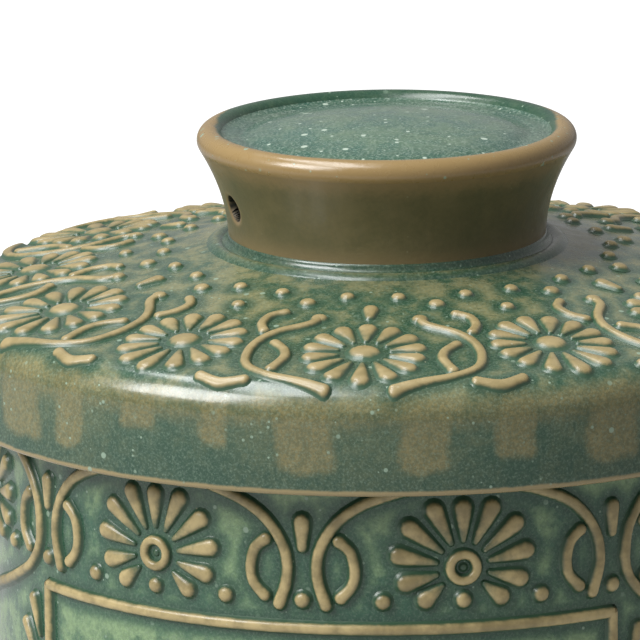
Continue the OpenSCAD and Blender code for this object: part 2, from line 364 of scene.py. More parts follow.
@dataclass(frozen=True)
class Mound:
    """How a stroke of clay rises from its edge to its crown, softened by the glaze over it."""

    rings: tuple[float, ...] = (0.3, 0.55, 0.75, 0.9, 1.03, 1.17, 1.38)
    lifts: tuple[float, ...] = (0.985, 0.91, 0.77, 0.56, 0.31, 0.11, -0.06)
    nose: int = 5

    def build(self, stroke: Stroke) -> tuple[np.ndarray, np.ndarray, list[tuple[int, ...]]]:
        """Makes one stroke's mound: its flat points, their shares of the rise, and its faces."""
        return self._closed(stroke) if stroke.closed else self._open(stroke)

    def _open(self, stroke: Stroke) -> tuple[np.ndarray, np.ndarray, list[tuple[int, ...]]]:
        """Makes the mound of a stroke that has two ends, as rings round its spine.

        Args:
            stroke: the stroke.

        Returns:
            Its flat points, their shares of the rise, and its faces.
        """
        spine, half = stroke.spine, stroke.half
        n = len(spine)
        ahead = np.gradient(spine, axis=0)
        ahead /= np.linalg.norm(ahead, axis=1)[:, None]
        side = np.column_stack([ahead[:, 1], -ahead[:, 0]])
        arc = np.linspace(-math.pi / 2, math.pi / 2, self.nose + 2)[1:-1]
        front = np.cos(arc)[:, None] * ahead[-1] - np.sin(arc)[:, None] * side[-1]
        back = -np.cos(arc)[:, None] * ahead[0] + np.sin(arc)[:, None] * side[0]
        order = [*range(n), *[n - 1] * self.nose, *range(n - 1, -1, -1), *[0] * self.nose]
        push = np.vstack([side, front, -side[::-1], back])
        height = np.minimum(1.0, (half / half.max()) ** 0.6)
        flat, lift = [spine], [height]
        for ring, share in zip(self.rings, self.lifts):
            flat.append(spine[order] + push * (half[order] * ring)[:, None])
            lift.append(share * height[order] if share > 0 else np.full(len(order), share))
        m, faces = len(order), []
        for j in range(m):
            k = (j + 1) % m
            a, b = order[j], order[k]
            faces.append((a, n + j, n + k) if a == b else (a, n + j, n + k, b))
            for i in range(len(self.rings) - 1):
                low, high = n + i * m, n + (i + 1) * m
                faces.append((low + j, high + j, high + k, low + k))
        return np.vstack(flat), np.concatenate(lift) * stroke.lift, faces

    def _closed(self, stroke: Stroke) -> tuple[np.ndarray, np.ndarray, list[tuple[int, ...]]]:
        """Makes the mound of a closed ring, as rows across it.

        Args:
            stroke: the stroke.

        Returns:
            Its flat points, their shares of the rise, and its faces.
        """
        centre = stroke.spine.mean(axis=0)
        out = stroke.spine - centre
        out /= np.linalg.norm(out, axis=1)[:, None]
        across = [-r for r in reversed(self.rings)] + [0.0] + list(self.rings)
        shares = list(reversed(self.lifts)) + [1.0] + list(self.lifts)
        m = len(stroke.spine)
        flat = np.vstack([stroke.spine + out * (stroke.half * a)[:, None] for a in across])
        faces = [(i * m + j, (i + 1) * m + j, (i + 1) * m + (j + 1) % m, i * m + (j + 1) % m)
                 for i in range(len(across) - 1) for j in range(m)]
        return flat, np.repeat(shares, m) * stroke.lift, faces


@dataclass
class Relief:
    """One kind of applied clay, repeated round the jar or the lid."""

    node: str
    strokes: list[Stroke]
    turns: list[float]
    rise: float

    def build(self, wrap: JarWrap | LidWrap, shape: Shape) -> None:
        """Adds every copy to a shape.

        Args:
            wrap: the surface that it lies on.
            shape: the shape of its node.
        """
        for stroke in self.strokes:
            flat, lift, faces = Mound().build(stroke)
            for turn in self.turns:
                shape.add(wrap.place(flat, lift * self.rise, turn), faces, crown=np.clip(lift, 0.0, 1.0))

    def nearness(self, wrap: JarWrap | LidWrap, at: np.ndarray, best: np.ndarray) -> None:
        """Lowers best to the distance from each point to this clay.

        Args:
            wrap: the surface that it lies on.
            at: points on the surface, in mm.
            best: least distances so far, changed in place.
        """
        for turn in self.turns:
            flat = wrap.flatten(at, turn)
            for stroke in self.strokes:
                low = stroke.spine.min(axis=0) - stroke.half.max() - FAR
                high = stroke.spine.max(axis=0) + stroke.half.max() + FAR
                near = np.flatnonzero(((flat > low) & (flat < high)).all(axis=1))
                if len(near):
                    best[near] = np.minimum(best[near], stroke.distance(flat[near]))


def clay_distance(
    reliefs: Sequence[Relief], wrap: JarWrap | LidWrap, at: np.ndarray, outside: np.ndarray
) -> np.ndarray:
    """Gives how far each point of a wall lies from the clay applied to it.

    Args:
        reliefs: the clay.
        wrap: the surface that it lies on.
        at: points of the wall in mm.
        outside: which of them are on that surface.

    Returns:
        The distances in mm, no more than FAR.
    """
    near = np.full(len(at), FAR)
    rows = np.flatnonzero(outside)
    part = near[rows]
    for relief in reliefs:
        relief.nearness(wrap, at[rows], part)
    near[rows] = part
    return near


@dataclass
class Turned:
    """A turned shape: a profile from point to point, spun round the axis."""

    node: str
    profile: list[Point]
    step: float = 0.9
    segments: int = 256

    def fine(self) -> np.ndarray:
        """Puts points into the profile so that none are further apart than the step.

        Returns:
            The points, one row each.
        """
        p = np.asarray(self.profile, float)
        out = [p[:1]]
        for a, b in zip(p[:-1], p[1:]):
            n = max(1, math.ceil(float(np.linalg.norm(b - a)) / self.step))
            out.append(a + (b - a) * (np.arange(1, n + 1) / n)[:, None])
        return np.vstack(out)

    def build(
        self,
        marks: Callable[[np.ndarray], Marks] | None = None,
        shift: Callable[[np.ndarray, np.ndarray], np.ndarray] | None = None,
        keep: Callable[[np.ndarray], np.ndarray] | None = None,
    ) -> bpy.types.Object:
        """Makes the piece.

        Args:
            marks: gives named values for the points.
            shift: moves the points, given them and the outward directions.
            keep: tells for the middle of each face whether it stays.

        Returns:
            The piece.
        """
        prof = self.fine()
        n, m = len(prof), self.segments
        ang = np.arange(m) * 2 * math.pi / m
        pts = np.stack([np.outer(prof[:, 0], np.sin(ang)), -np.outer(prof[:, 0], np.cos(ang)),
                        np.repeat(prof[:, 1:], m, axis=1)], axis=-1).reshape(-1, 3)
        rows = np.repeat(np.arange(n), m)
        tangent = np.gradient(prof, axis=0)
        tangent /= np.maximum(np.linalg.norm(tangent, axis=1), 1e-9)[:, None]
        out = tangent[:, 1][rows]
        normal = np.column_stack([out * np.tile(np.sin(ang), n), -out * np.tile(np.cos(ang), n),
                                  -tangent[:, 0][rows]])
        values = marks(pts) if marks else {}
        if shift:
            pts = shift(pts, normal)
        i, j = np.meshgrid(np.arange(n - 1), np.arange(m), indexing="ij")
        i, j = i.ravel(), j.ravel()
        k = (j + 1) % m
        quads = np.column_stack([i * m + j, i * m + k, (i + 1) * m + k, (i + 1) * m + j])
        length = np.concatenate([[0.0], np.cumsum(np.linalg.norm(np.diff(prof, axis=0), axis=1))])
        v = length / length[-1]
        uv = np.stack([np.column_stack([j / m, v[i]]), np.column_stack([(j + 1) / m, v[i]]),
                       np.column_stack([(j + 1) / m, v[i + 1]]), np.column_stack([j / m, v[i + 1]])], axis=1)
        if keep:
            stay = keep(pts[quads].mean(axis=1))
            quads, uv = quads[stay], uv[stay]
        shape = Shape()
        shape.add(pts, [tuple(q) for q in quads.tolist()], **values)
        return shape.piece(self.node.replace("_", "-"), uv * 0.98 + 0.01)


def waver(at: np.ndarray, normal: np.ndarray, depth: float | np.ndarray = 0.12) -> np.ndarray:
    """Moves points a little in and out, as the wall of a cast and glazed pot does.

    Args:
        at: points in mm.
        normal: their outward directions.
        depth: furthest move in mm, or that of each point.

    Returns:
        The moved points.
    """
    x, y, z = at.T
    wave = np.sin(x / 11.3 + 1.7 * np.sin(z / 17.0)) + np.sin(y / 9.1 + 0.8) + np.sin(z / 7.7 + x / 23.0)
    return at + normal * (depth * wave / 3)[:, None]


# ---- shader graph ------------------------------------------------------------------------------------------


@dataclass(frozen=True)
class Link:
    """A node's output that is worked with in Python's own arithmetic."""

    graph: "Graph"
    socket: bpy.types.NodeSocket

    def _math(self, kind: str, a: "Link | float", b: "Link | float") -> "Link":
        """Adds one Math node."""
        return self.graph.node("ShaderNodeMath", {"operation": kind}, {0: a, 1: b})

    def __add__(self, other: "Link | float") -> "Link":
        """Adds."""
        return self._math("ADD", self, other)

    def __radd__(self, other: float) -> "Link":
        """Adds, the other way round."""
        return self._math("ADD", other, self)

    def __sub__(self, other: "Link | float") -> "Link":
        """Takes away."""
        return self._math("SUBTRACT", self, other)

    def __rsub__(self, other: float) -> "Link":
        """Takes this away from a number."""
        return self._math("SUBTRACT", other, self)

    def __mul__(self, other: "Link | float") -> "Link":
        """Multiplies."""
        return self._math("MULTIPLY", self, other)

    def __rmul__(self, other: float) -> "Link":
        """Multiplies, the other way round."""
        return self._math("MULTIPLY", other, self)

    def __truediv__(self, other: "Link | float") -> "Link":
        """Divides."""
        return self._math("DIVIDE", self, other)

    def __rtruediv__(self, other: float) -> "Link":
        """Divides a number by this."""
        return self._math("DIVIDE", other, self)

    def most(self, other: "Link | float") -> "Link":
        """Gives the greater of the two."""
        return self._math("MAXIMUM", self, other)

    def ease(self, low: float, high: float, start: float = 0.0, end: float = 1.0) -> "Link":
        """Goes smoothly from start to end as this goes from low to high."""
        return self.graph.node("ShaderNodeMapRange", {"interpolation_type": "SMOOTHSTEP"},
                               {0: self, 1: low, 2: high, 3: start, 4: end})


Value = Link | float | Colour


@dataclass
class Graph:
    """The node tree of one material."""

    name: str
    material: bpy.types.Material = field(init=False)

    def __post_init__(self) -> None:
        """Makes the empty material."""
        self.material = bpy.data.materials.new(self.name)
        self.material.use_nodes = True
        self.material.node_tree.nodes.clear()

    def node(
        self,
        kind: str,
        settings: dict[str, object] | None = None,
        inputs: dict[int | str, Value] | None = None,
        output: int | str = 0,
    ) -> Link:
        """Adds a node.

        Args:
            kind: its type.
            settings: its properties, set first.
            inputs: the values or links of its sockets.
            output: the output to give back.

        Returns:
            That output.
        """
        n = self.material.node_tree.nodes.new(kind)
        for key, value in (settings or {}).items():
            setattr(n, key, value)
        for key, value in (inputs or {}).items():
            socket = n.inputs[key]
            if isinstance(value, Link):
                self.material.node_tree.links.new(value.socket, socket)
            elif isinstance(value, tuple):
                socket.default_value = (*value, 1.0)[: len(socket.default_value)]
            else:
                socket.default_value = value
        return Link(self, n.outputs[output])

    def mix(self, share: Value, a: Value, b: Value) -> Link:
        """Mixes two colours, of which b shows by share."""
        return self.node("ShaderNodeMix", {"data_type": "RGBA"}, {0: share, 6: a, 7: b}, 2)

    def mark(self, name: str) -> Link:
        """Reads a named value from the mesh."""
        return self.node("ShaderNodeAttribute", {"attribute_name": name}, {}, "Fac")

    def place(self) -> Link:
        """Gives the place on the object in metres."""
        return self.node("ShaderNodeTexCoord", {}, {}, "Object")

    def height(self) -> Link:
        """Gives the height above the table in metres."""
        return self.node("ShaderNodeSeparateXYZ", {}, {0: self.place()}, 2)

    def noise(self, size: float, detail: float = 3.0, rough: float = 0.55) -> Link:
        """Gives cloudy noise about a half, in patches of a size in mm."""
        return self.node("ShaderNodeTexNoise", {}, {
            "Vector": self.place(), "Scale": 1 / (size * MM), "Detail": detail, "Roughness": rough})

    def specks(self, apart: float, radius: float, share: float) -> Link:
        """Gives a mask of small round specks.

        Args:
            apart: spacing of the cells that may hold a speck, in mm.
            radius: largest radius of a speck in mm.
            share: share of the cells that hold one.

        Returns:
            One in a speck and nothing outside.
        """
        cell = {"Vector": self.place(), "Scale": 1 / (apart * MM)}
        gap = self.node("ShaderNodeTexVoronoi", {}, cell, "Distance")
        seed = self.node("ShaderNodeTexVoronoi", {}, cell, "Color")
        chance = self.node("ShaderNodeSeparateColor", {}, {0: seed}, 0)
        size = chance.ease(1 - share, 1.0, 0.0, radius / apart)
        return (size - gap).ease(-0.01, 0.05)

    def finish(
        self, colour: Value, rough: Value, bump: Link, depth: float, gloss: "Gloss"
    ) -> bpy.types.Material:
        """Ends the material in its shader.

        Args:
            colour: its base colour.
            rough: its roughness.
            bump: height that its surface follows, about one from low to high.
            depth: that height in mm.
            gloss: its clear layer.

        Returns:
            The material.
        """
        relief = {"Strength": 1.0, "Distance": depth * MM, "Height": bump}
        normal = self.node("ShaderNodeBump", {}, relief, "Normal")
        shader = self.node("ShaderNodeBsdfPrincipled", {}, {
            "Base Color": colour, "Roughness": rough, "Normal": normal, "IOR": 1.5,
            "Coat Weight": gloss.coat, "Coat Roughness": gloss.coat_rough,
            "Specular IOR Level": gloss.specular})
        self.node_out(shader)
        return self.material

    def node_out(self, shader: Link) -> None:
        """Links a shader to the material's output.

        Args:
            shader: the shader.
        """
        nodes = self.material.node_tree.nodes
        out = nodes.get("Material Output") or nodes.new("ShaderNodeOutputMaterial")
        self.material.node_tree.links.new(shader.socket, out.inputs[0])


@dataclass(frozen=True)
class Gloss:
    """The clear layer of a finish."""

    coat: Value = 0.5
    coat_rough: float = 0.16
    specular: float = 0.5


# ---- finishes ----------------------------------------------------------------------------------------------


class Slot(Enum):
    """The record's material slots."""

    GREEN = "green_glaze"
    BROWN = "brown_glaze"
    SLIP = "slip_relief"
    CLAY = "bare_clay"


@dataclass(frozen=True)
class GreenGlaze:
    """Teal-green glaze, pooled dark beside the clay and thin and pale away from it, with pale specks."""

    name: str = "green-glaze"
    deep: Colour = (0.008, 0.044, 0.025)
    teal: Colour = (0.016, 0.072, 0.040)
    grey: Colour = (0.050, 0.104, 0.050)
    pale: Colour = (0.150, 0.235, 0.112)
    tan: Colour = (0.290, 0.225, 0.105)
    brown: Colour = (0.200, 0.170, 0.068)
    speck: Colour = (0.260, 0.360, 0.270)
    pale_share: float = 0.75
    salt: float = 0.32
    pool: float = 2.2
    dust: float = 0.40
    spot: float = 1.0
    stipple: float = 0.34
    gloss: Gloss = Gloss(coat=0.4)

    def build(self) -> bpy.types.Material:
        """Makes the material.

        Returns:
            The material.
        """
        g = Graph(self.name)
        near, tan, brown = g.mark("near"), g.mark("tan"), g.mark("brown")
        cloud, curd, grain = g.noise(17.0, 3.0), g.noise(4.2, 4.0, 0.6), g.noise(1.1, 3.0, 0.6)
        mottle = 0.45 * cloud + 0.35 * curd + 0.2 * grain
        colour = g.mix(mottle.ease(0.40, 0.62), self.teal, self.grey)
        away = near.ease(1.0, 3.4) * (0.6 * curd + 0.4 * cloud).ease(0.36, 0.56)
        colour = g.mix(away * self.pale_share, colour, self.pale)
        pooled = near.ease(0.2, self.pool, 1.0, 0.0) * grain.ease(0.15, 0.65, 1.0, 0.6)
        colour = g.mix(pooled * 0.88, colour, self.deep)
        fade = (brown * (0.3 + 0.45 * curd + 0.95 * grain)).ease(0.04, 1.02)
        colour = g.mix(fade * 0.86, colour, self.brown)
        fine = g.noise(0.75, 3.0, 0.8)
        colour = g.mix(fine.ease(0.44, 0.58, self.stipple, 0.0), colour, self.deep)
        salt = g.noise(0.45, 3.0, 0.75).ease(0.45, 0.70) * (0.4 + curd)
        colour = g.mix(salt * self.salt, colour, self.speck)
        colour = g.mix((tan + 0.5 * (curd - 0.5)).ease(0.3, 0.7), colour, self.tan)
        large = g.specks(2.8 * self.spot, 0.62 * self.spot, 0.5)
        small = g.specks(1.5 * self.spot, 0.32 * self.spot, 0.5)
        spots = large.most(small)
        spots = spots * g.noise(9.0, 2.0).ease(self.dust, self.dust + 0.16)
        colour = g.mix(spots * 0.8, colour, self.speck)
        rough = curd.ease(0.3, 0.7, 0.20, 0.36)
        bump = 0.6 * curd + 0.25 * grain + 0.15 * spots
        return g.finish(colour, rough, bump, 0.10, self.gloss)


@dataclass(frozen=True)
class SlipGlaze:
    """Honey-tan glaze that breaks over raised clay and turns green towards its foot."""

    name: str = "slip-glaze"
    crown: Colour = (0.385, 0.292, 0.130)
    ochre: Colour = (0.255, 0.200, 0.088)
    foot: Colour = (0.034, 0.082, 0.044)
    speck: Colour = (0.520, 0.500, 0.340)
    bite: float = 0.56
    gloss: Gloss = Gloss(coat=0.3, coat_rough=0.25)

    def build(self) -> bpy.types.Material:
        """Makes the material.

        Returns:
            The material.
        """
        g = Graph(self.name)
        crown = g.mark("crown")
        cloud, curd, grain = g.noise(14.0, 2.0), g.noise(2.6, 3.0, 0.6), g.noise(0.8, 2.0, 0.6)
        colour = g.mix((0.5 * cloud + 0.5 * curd).ease(0.36, 0.62), self.ochre, self.crown)
        edge = (crown + 0.45 * (curd - 0.5) + 0.3 * (grain - 0.5)).ease(self.bite - 0.42, self.bite + 0.22)
        colour = g.mix(edge, self.foot, colour)
        spots = g.specks(1.7, 0.28, 0.35) * cloud.ease(0.45, 0.6)
        colour = g.mix(spots * 0.5, colour, self.speck)
        rough = curd.ease(0.3, 0.7, 0.34, 0.50)
        return g.finish(colour, rough, 0.7 * curd + 0.3 * grain, 0.09, self.gloss)


@dataclass(frozen=True)
class KnobGlaze:
    """Olive-brown glaze on the knob's wall, tan near its rim and foot and darker where it ran thick, with the
    vent's bore painted near black as shade.
    """

    low: float
    high: float
    name: str = "knob-glaze"
    # near black: painted shade standing in for the darkness inside the vent's bore
    dark: Colour = (0.006, 0.008, 0.005)
    olive: Colour = (0.092, 0.082, 0.034)
    brown: Colour = (0.145, 0.118, 0.050)
    tan: Colour = (0.250, 0.170, 0.075)
    speck: Colour = (0.300, 0.270, 0.160)
    gloss: Gloss = Gloss(coat=0.35, coat_rough=0.2)

    def build(self) -> bpy.types.Material:
        """Makes the material.

        Returns:
            The material.
        """
        g = Graph(self.name)
        share = (g.height() - self.low * MM) / ((self.high - self.low) * MM)
        cloud, curd, grain = g.noise(26.0, 3.0), g.noise(5.0, 4.0, 0.6), g.noise(0.9, 3.0, 0.6)
        mottle = 0.6 * cloud + 0.25 * curd + 0.15 * grain
        colour = g.mix(mottle.ease(0.38, 0.62), self.olive, self.brown)
        lip = (share + 0.10 * (curd - 0.5) + 0.10 * (grain - 0.5)).ease(0.76, 1.0)
        heel = (share + 0.2 * (curd - 0.5)).ease(0.02, 0.30, 0.55, 0.0)
        colour = g.mix(lip.most(heel).most(g.mark("lip")) * 0.85, colour, self.tan)
        spots = g.specks(1.9, 0.26, 0.35) * curd.ease(0.45, 0.6)
        colour = g.mix(spots * 0.35, colour, self.speck)
        # painted shade: where the bore mark is set, round the vent's hole, the colour goes near black for the
        # shade inside it
        bore = g.mark("bore")
        colour = g.mix(bore, colour, self.dark)
        rough = curd.ease(0.3, 0.7, 0.30, 0.45).most(bore)
        gloss = Gloss((1.0 - bore) * self.gloss.coat, self.gloss.coat_rough, self.gloss.specular)
        return g.finish(colour, rough, 0.6 * curd + 0.4 * grain, 0.08, gloss)


@dataclass(frozen=True)
class BareClay:
    """Fired clay without glaze, matt, with fine grit."""

    name: str = "bare-clay"
    light: Colour = (0.560, 0.450, 0.310)
    dark: Colour = (0.400, 0.300, 0.190)
    grit: Colour = (0.160, 0.110, 0.070)
    gloss: Gloss = Gloss(coat=0.0, specular=0.25)

    def build(self) -> bpy.types.Material:
        """Makes the material.

        Returns:
            The material.
        """
        g = Graph(self.name)
        cloud, grain = g.noise(12.0, 3.0), g.noise(0.7, 3.0, 0.65)
        colour = g.mix((0.5 * cloud + 0.5 * grain).ease(0.35, 0.65), self.dark, self.light)
        grit = g.specks(2.2, 0.22, 0.4)
        colour = g.mix(grit * 0.7, colour, self.grit)
        return g.finish(colour, grain.ease(0.3, 0.7, 0.75, 0.9), grain + 0.5 * grit, 0.12, self.gloss)


@dataclass(frozen=True)
class Finishes:
    """Every finish of the jar, made once."""

    jar: bpy.types.Material
    lid: bpy.types.Material
    jar_slip: bpy.types.Material
    lid_slip: bpy.types.Material
    knob: bpy.types.Material
    rim: bpy.types.Material
    cap: bpy.types.Material
    clay: bpy.types.Material


def dress(piece: bpy.types.Object, node: str, body: str, finish: bpy.types.Material) -> None:
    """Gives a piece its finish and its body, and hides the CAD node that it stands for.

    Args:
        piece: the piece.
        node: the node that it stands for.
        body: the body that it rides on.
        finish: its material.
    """
    piece.data.materials.append(finish)
    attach(piece, body)
    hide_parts(node)
    log.info("%s: %d points on %s", piece.name, len(piece.data.vertices), body)


def lay_clay(
    reliefs: Sequence[Relief], wrap: JarWrap | LidWrap, body: str, finish: bpy.types.Material
) -> None:
    """Makes the pieces of applied clay, one for each node.

    Args:
        reliefs: the clay, in which a node may come more than once.
        wrap: the surface that it lies on.
        body: the body that it rides on.
        finish: its material.
    """
    shapes: dict[str, Shape] = {}
    for relief in reliefs:
        relief.build(wrap, shapes.setdefault(relief.node, Shape()))
    for node, shape in shapes.items():
        dress(shape.piece(node.replace("_", "-")), node, body, finish)


# ---- the jar -----------------------------------------------------------------------------------------------


def top(node: str) -> float:
    """Gives the highest point of a node in mm."""
    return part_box(node)[1][2] / MM


def foot(node: str) -> float:
    """Gives the lowest point of a node in mm."""
    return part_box(node)[0][2] / MM


def reach(node: str) -> float:
    """Gives how far a node reaches from the axis in mm."""
    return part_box(node)[1][0] / MM


@dataclass
class Jar:
    """The jar: its wall, its foot ring and the clay applied to it."""

    finishes: Finishes
    radius: float = field(default_factory=lambda: reach("jar_wall"))
    rim: float = field(default_factory=lambda: top("jar_wall"))
    edge: float = field(default_factory=lambda: foot("lid_shell"))
    foot_height: float = field(default_factory=lambda: top("foot_ring"))
    foot_radius: float = field(default_factory=lambda: reach("foot_ring"))
    frame_top: float = field(default_factory=lambda: top("panel_frames"))
    frame_foot: float = field(default_factory=lambda: foot("panel_frames"))
    foot_width: float = 6.0
    wall: float = 5.0
    floor: float = 6.5
    base_radius: float = 58.0
    base_height: float = 34.0
    rise: float = 1.2
    line: float = 2.1
    flowers: int = 8
    phase: float = 10.3
    petals: int = 11
    fan: float = 26.0
    petal_reach: float = 12.1
    petal_start: float = 5.0
    lip_soft: float = 1.1
    flower_drop: float = 15.3
    dot_drop: float = 21.2
    arch_half: float = 20.4
    arch_side: tuple[Point, ...] = ((0.94, -22.0), (1.0, -16.5), (0.965, -10.9), (0.8, -5.4), (0.5, -1.7))
    sweep: tuple[Point, ...] = ((1.0, -16.5), (0.985, -18.9), (0.93, -21.6), (0.79, -24.8), (0.43, -29.1),
                                (0.05, -32.4), (-0.45, -37.5), (-0.85, -45.0), (-1.02, -56.0), (-1.03, -68.0))
    crescent: tuple[Point, ...] = ((17.3, -10.3), (15.7, -12.2), (15.1, -15.5), (15.5, -18.3), (17.1, -20.6))
    leaf_gap: float = 5.2

    @property
    def wrap(self) -> JarWrap:
        """The surface that the clay lies on."""
        return JarWrap(self.radius, self.edge)

    @property
    def step(self) -> float:
        """Degrees from flower to flower."""
        return 360.0 / self.flowers

    @property
    def turns(self) -> list[float]:
        """The angle of each flower."""
        return [self.phase + self.step * i for i in range(self.flowers)]

    def across(self, degrees: float, z: float) -> Point:
        """Gives the flat place at an angle and at a height from the lid's edge."""
        return (self.radius * math.radians(degrees), z)

    def swept(self, i: int, side: int) -> bool:
        """Tells whether a flower's arch leg sweeps down beside a panel."""
        return (i % 4 == 1 and side < 0) or (i % 4 == 2 and side > 0)

    def arch(self, i: int) -> Stroke:
        """Lays the arch over one flower.

        Args:
            i: the flower's place in the row.

        Returns:
            The stroke.
        """
        legs = []
        for side in (-1, 1):
            rows = [p for p in self.arch_side if not self.swept(i, side) or p[1] > -17]
            legs.append([self.across(side * self.arch_half * p[0], p[1]) for p in rows])
        return trail([*legs[0], self.across(0, 0.8), *reversed(legs[1])], self.line)

    def petal(self, k: int) -> Stroke:
        """Lays one petal of a flower.

        Args:
            k: its place, counted from the top one.

        Returns:
            The stroke.
        """
        turn = math.radians(90 - self.fan * k)
        far = self.petal_reach - (0.36 if abs(k) > 2 else 0.3) * (abs(k) - 2) ** 2
        way = np.array([math.cos(turn), math.sin(turn)])
        centre = np.array([0.0, -self.flower_drop])
        return drop(centre + far * way, centre + self.petal_start * way, 1.65, 0.55)

    def frame_strokes(self) -> list[Stroke]:
        """Lays the four lines of a framed panel, sharp at their corners.

        Returns:
            The strokes.
        """
        half = self.radius * math.radians(self.step)
        high = self.frame_top - self.edge - self.line / 2
        low = self.frame_foot - self.edge + self.line / 2
        corners = [(-half, high), (half, high), (half, low), (-half, low)]
        count = (64, 44, 64, 44)
        strokes = []
        for a, b, n in zip(corners, corners[1:] + corners[:1], count):
            t = np.linspace(0.0, 1.0, n)[:, None]
            strokes.append(Stroke((1 - t) * np.array(a) + t * np.array(b), np.full(n, self.line / 2)))
        return strokes

    def leaves(self) -> list[Stroke]:
        """Lays the leaves down both sides of a panel.

        Returns:
            The strokes.
        """
        out = []
        count = int((self.frame_top - self.frame_foot - 14) // self.leaf_gap)
        for side in (-1, 1):
            middle = self.across(side * (self.step + 4.0), 0)[0]
            for k in range(count + 1):
                z, away = self.frame_top - self.edge - 4.75 - self.leaf_gap * k, 3.2 * (k % 2)
                out.append(drop((middle + side * (0.6 + away), z),
                                (middle - side * 1.4, z - 6.6 - 0.4 * away), 1.25, 0.45))
        return out

    def reliefs(self) -> list[Relief]:
        """Lays out the clay that repeats evenly round the jar.

        Returns:
            The reliefs.
        """
        centre = (0.0, -self.flower_drop)
        crescents = [[self.across(s * x, z) for x, z in self.crescent] for s in (-1, 1)]
        panels = [self.phase + self.step * (4 * i - 0.5) for i in range(self.flowers // 4)]
        quarter = [self.phase + self.step / 4 * i for i in range(4 * self.flowers)]
        side = self.petals // 2
        petals = [self.petal(k) for k in range(-side, side + 1)]
        rings = [loop(centre, 2.4, 0.9), dot(centre, 0.7, 0.35)]
        return [
            Relief("jar_flower_petals", petals, self.turns, self.rise),
            Relief("jar_flower_rings", rings, self.turns, self.rise),
            Relief("jar_crescents", [trail(c, self.line) for c in crescents], self.turns, self.rise),
            Relief("jar_ovals", [drop((0.0, -6.9), (0.0, -11.6), 1.5, 0.95)],
                   [t + self.step / 2 for t in self.turns], self.rise),
            Relief("jar_dots", [dot((0.0, -self.dot_drop), 1.5)], quarter, self.rise),
            Relief("panel_frames", self.frame_strokes(), panels, self.rise),
            Relief("side_leaves", self.leaves(), panels, self.rise),
        ]

    def arches(self) -> list[Relief]:
        """Lays out the arches and the legs that sweep down, each at its own angle.

        Returns:
            The reliefs.
        """
        turned = list(enumerate(self.turns))
        arches = [Relief("jar_arches", [self.arch(i)], [turn], self.rise) for i, turn in turned]
        sweeps = {s: [self.across(s * self.arch_half * x, z) for x, z in self.sweep] for s in (-1, 1)}
        legs = [Relief("side_scrolls", [trail(sweeps[s], self.line)], [turn], self.rise)
                for i, turn in turned for s in (-1, 1) if self.swept(i, s)]
        return arches + legs

    def base_curve(self, inward: float) -> list[Point]:
        """Gives the drawn-in stretch of the wall's profile.

        Args:
            inward: how far it lies inside the outer skin.

        Returns:
            Its points, from the foot up.
        """
        return [(self.base_radius - inward + (self.radius - self.base_radius) * math.sin(t),
                 self.foot_height + self.base_height * (1 - math.cos(t)))
                for t in np.linspace(0, math.pi / 2, 24)]

    def wall_profile(self) -> list[Point]:
        """Gives the wall's profile, up the outside, over the rim and down inside.

        Returns:
            Its points.
        """
        ground, floor_soft = self.foot_height + self.floor, 1.5
        inner = [p for p in self.base_curve(self.wall) if p[1] > ground + floor_soft]
        r, z, soft = self.radius, self.rim, self.lip_soft
        arc = np.linspace(0, math.pi / 2, 5)
        lip = [(r - soft + soft * math.cos(a), z - soft + soft * math.sin(a)) for a in arc]
        back = [(r - self.wall + soft - soft * math.sin(a), z - soft + soft * math.cos(a)) for a in arc]
        return [(AXIS, self.foot_height), *self.base_curve(0.0), *lip, *back, *reversed(inner),
                (inner[0][0] - floor_soft, ground), (AXIS, ground)]

    def marks(self, at: np.ndarray) -> Marks:
        """Marks the wall where the glaze pools beside the clay and where it breaks over the rim.

        Args:
            at: points of the wall in mm.

        Returns:
            The values of the marks.
        """
        outside = (np.hypot(at[:, 0], at[:, 1]) > self.radius - SKIN) & (at[:, 2] > self.frame_foot - BELOW)
        return {"near": clay_distance(self.reliefs() + self.arches(), self.wrap, at, outside),
                "tan": np.clip((at[:, 2] - self.rim + 1.6) / 1.2, 0, 1), "brown": np.zeros(len(at))}

    def settle(self, at: np.ndarray, normal: np.ndarray) -> np.ndarray:
        """Wavers the wall, less and less towards its rim, so that the lid sits clear of it."""
        return waver(at, normal, 0.12 * np.clip((self.rim - at[:, 2]) / 4.0, 0.0, 1.0))

    def build(self) -> None:
        """Makes the jar's pieces."""
        lay_clay(self.reliefs() + self.arches(), self.wrap, "jar", self.finishes.jar_slip)
        wall = Turned("jar_wall", self.wall_profile(), step=1.1, segments=440).build(self.marks, self.settle)
        dress(wall, "jar_wall", "jar", self.finishes.jar)
        dress(self.foot_ring(), "foot_ring", "jar", self.finishes.clay)

    def foot_ring(self) -> bpy.types.Object:
        """Turns the unglazed ring that the jar stands on.

        Returns:
            The piece.
        """
        inner, low, soft = self.foot_radius - self.foot_width, 0.0, 0.9
        return Turned("foot_ring", [
            (inner, self.foot_height), (inner, low + soft), (inner + 0.3 * soft, low + 0.3 * soft),
            (inner + soft, low), (self.foot_radius - soft, low),
            (self.foot_radius - 0.3 * soft, low + 0.3 * soft), (self.foot_radius, low + soft),
            (self.foot_radius, self.foot_height)], step=1.0, segments=160).build()


# ---- the lid -----------------------------------------------------------------------------------------------


